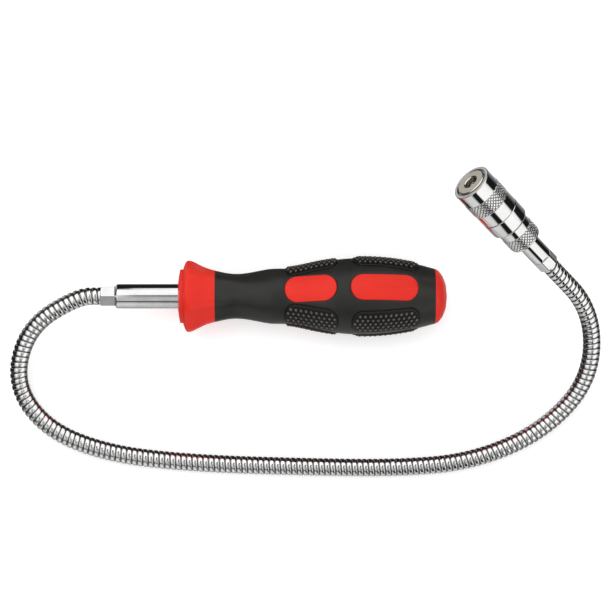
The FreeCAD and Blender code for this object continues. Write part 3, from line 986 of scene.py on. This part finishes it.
def make_shank():
    """Drawn tube with a hexagonal crimp whose flats run out in scallops."""
    angle = turn_angles(288)
    outline = rounded([
        (-32.5, 4.05, 0), (-35.1, 4.05, 0.1), (-35.2, 4.15, 0.1), (-35.2, 4.75, 0.3),
        (-34.8, 5.02, 0.5), (-28.8, 5.02, 0.8), (-27.8, 5.5, 0.8), (-20.0, 5.5, 0), (-10.0, 5.5, 0),
        (4.0, 5.5, 0),
    ])
    dense = densified(outline, lambda point: point[0] < -26.5 and point[1] > 4.5)
    x, radius = dense[:, :1], dense[:, 1:]
    flat = six_flats(angle, 30.0, CRIMP_FLATS / 2 + 1.6 * smoothstep(x, -29.1, -27.5))
    shaped = np.where(radius > 4.5, soft_min(radius, flat, 0.10), radius)
    build = Build()
    build.grid(on_handle(x, angle, shaped), flip=True)
    piece = build.piece("shank_tube_skin", sharp_degrees=35.0)
    finish_piece(piece, SHANK_PLATE, "shank_plate", "handle", "shank_tube")


make_shank()


# ---------------------------------------------------------------- head

BARREL_RADIUS = 9.12
TAIL_RADIUS = 7.65
FERRULE_RADIUS = 4.9
FERRULE_FLATS = 8.9
STEPS_PER_DIAMOND = 12
KNURL_STEP = 0.12

HEAD_SIDE = unit(np.cross([0, 0, 1.0], HEAD_AXIS))
HEAD_UP = np.cross(HEAD_AXIS, HEAD_SIDE)


def on_head(back, angle, radius):
    """Points on the head: distance behind the face, angle from the upward side, and radius."""
    back, angle, radius = np.broadcast_arrays(back, angle, radius)
    return (
        HEAD_FACE
        - back[..., None] * HEAD_AXIS
        + (radius * np.cos(angle))[..., None] * HEAD_UP
        + (radius * np.sin(angle))[..., None] * HEAD_SIDE
    )


def turned_piece(build, outline, columns=192):
    """Add a turned skin to a build, from a (back, radius) outline."""
    build.grid(on_head(outline[:, :1], turn_angles(columns), outline[:, 1:]), flip=True)


def knurl_height(back, angle, start, end, around, pitch, depth, rise):
    """Height of a diamond knurl: flat-topped diamonds between two sets of crossing grooves."""
    lengthwise = (back - start) / pitch
    turn = angle / (2 * math.pi) * around
    first = np.abs((lengthwise + turn) % 1.0 - 0.5) * 2
    second = np.abs((lengthwise - turn) % 1.0 - 0.5) * 2
    groove = np.maximum(first, second)
    cut = smoothstep(groove, 0.66, 1.0)
    fade = smoothstep(back, start, start + 0.35) * (1 - smoothstep(back, end - 0.35, end))
    return (rise - depth * cut) * fade


def add_knurl(build, start, end, radius, around, pitch, depth=0.36, rise=0.16):
    """Add a knurled band, with this many diamonds around."""
    angle = turn_angles(around * STEPS_PER_DIAMOND)
    back = np.linspace(start, end, int((end - start) / KNURL_STEP))[:, None]
    height = knurl_height(back, angle, start, end, around, pitch, depth, rise)
    build.grid(on_head(back, angle, radius + height), flip=True)


def make_front_cap():
    build = Build()
    radius = BARREL_RADIUS
    turned_piece(build, rounded([
        (5.0, 6.85, 0), (1.2, 6.85, 0.1), (1.2, 7.4, 0.1), (0.5, 7.45, 0.2), (0.40, 7.7, 0.3),
        (0.4, radius - 0.05, 0.5), (1.0, radius, 0.5), (7.0, radius, 0),
    ]))
    add_knurl(build, 7.0, 14.2, radius, around=32, pitch=1.8)
    turned_piece(build, rounded([
        (14.2, radius, 0), (20.65, radius, 0.15), (20.8, radius - 0.2, 0.1), (20.8, 7.3, 0),
    ]))
    piece = build.piece("front_cap_skin", sharp_degrees=35.0)
    finish_piece(piece, HEAD_PLATE, "head_plate", "lamp_cap", "front_cap")


def make_battery_barrel():
    build = Build()
    radius = BARREL_RADIUS
    turned_piece(build, rounded([
        (20.9, 7.2, 0), (20.9, radius - 0.2, 0.1), (21.1, radius, 0.15), (28.2, radius, 1.4),
        (29.2, radius - 0.9, 1.4), (29.2, 6.9, 0),
    ]))
    piece = build.piece("battery_barrel_skin", sharp_degrees=35.0)
    finish_piece(piece, HEAD_PLATE, "head_plate", "head", "battery_barrel")


def make_tail_cap():
    build = Build()
    radius = TAIL_RADIUS
    turned_piece(build, rounded([(29.1, 6.9, 0), (29.2, radius, 0.1), (33.0, radius, 0)]))
    add_knurl(build, 33.0, 39.7, radius, around=27, pitch=1.8)
    turned_piece(build, rounded([
        (39.7, radius, 0), (40.2, radius, 0.5), (40.5, radius - 0.6, 0.5), (40.5, 4.2, 0),
    ]))
    piece = build.piece("tail_cap_skin", sharp_degrees=35.0)
    finish_piece(piece, HEAD_PLATE, "head_plate", "head", "tail_cap")


def make_ferrule():
    angle = turn_angles(240)
    radius = FERRULE_RADIUS
    outline = rounded([
        (40.5, 4.0, 0), (40.5, radius - 0.15, 0.1), (40.7, radius, 0.2), (57.7, radius, 0.3),
        (58.0, radius - 0.35, 0.2), (57.9, 4.05, 0.1), (54.0, 4.05, 0),
    ])
    dense = densified(outline, lambda point: point[1] > 4.5)
    back, rim = dense[:, :1], dense[:, 1:]
    flat = six_flats(angle, 0.0, FERRULE_FLATS / 2 + 1 - smoothstep(back, 50.6, 52.8))
    shaped = np.where(rim > 4.2, soft_min(rim, flat, 0.08), rim)
    build = Build()
    build.grid(on_head(back, angle, shaped), flip=True)
    piece = build.piece("neck_ferrule_skin", sharp_degrees=35.0)
    finish_piece(piece, HEAD_PLATE, "head_plate", "head", "neck_ferrule")


def make_magnet():
    build = Build()
    turned_piece(build, rounded([
        (4.0, 3.15, 0), (0.35, 3.15, 0.1), (0.0, 3.5, 0.15), (0.0, 6.45, 0.3), (0.35, 6.8, 0.3),
        (4.0, 6.8, 0),
    ]))
    piece = build.piece("magnet_ring_skin", sharp_degrees=35.0)
    finish_piece(piece, MAGNET_PLATE, "magnet_nickel", "lamp_cap", "magnet_ring")


make_front_cap()
make_battery_barrel()
make_tail_cap()
make_ferrule()
make_magnet()


# ---------------------------------------------------------------- CAD nodes that stay

def paint_nodes():
    """Pieces inside the head keep their CAD shape and get their own materials."""
    kept = {
        "lamp_lens": LENS,
        "lamp_holder": HOLDER,
        "lamp_board": BOARD,
        "lamp_leads": CELL_PLATE,
        "contact_button": BRASS,
        "battery_cell_1": CELL_PLATE,
        "battery_cell_2": CELL_PLATE,
        "battery_cell_3": CELL_PLATE,
        "cell_sleeve": HOLDER,
        "seal_ring": GRIP,
        "tail_spring": SPRING_PLATE,
    }
    for name, material in kept.items():
        slots_of_node = frame["nodes"][name].data.materials
        slots_of_node.clear()
        slots_of_node.append(material)


paint_nodes()
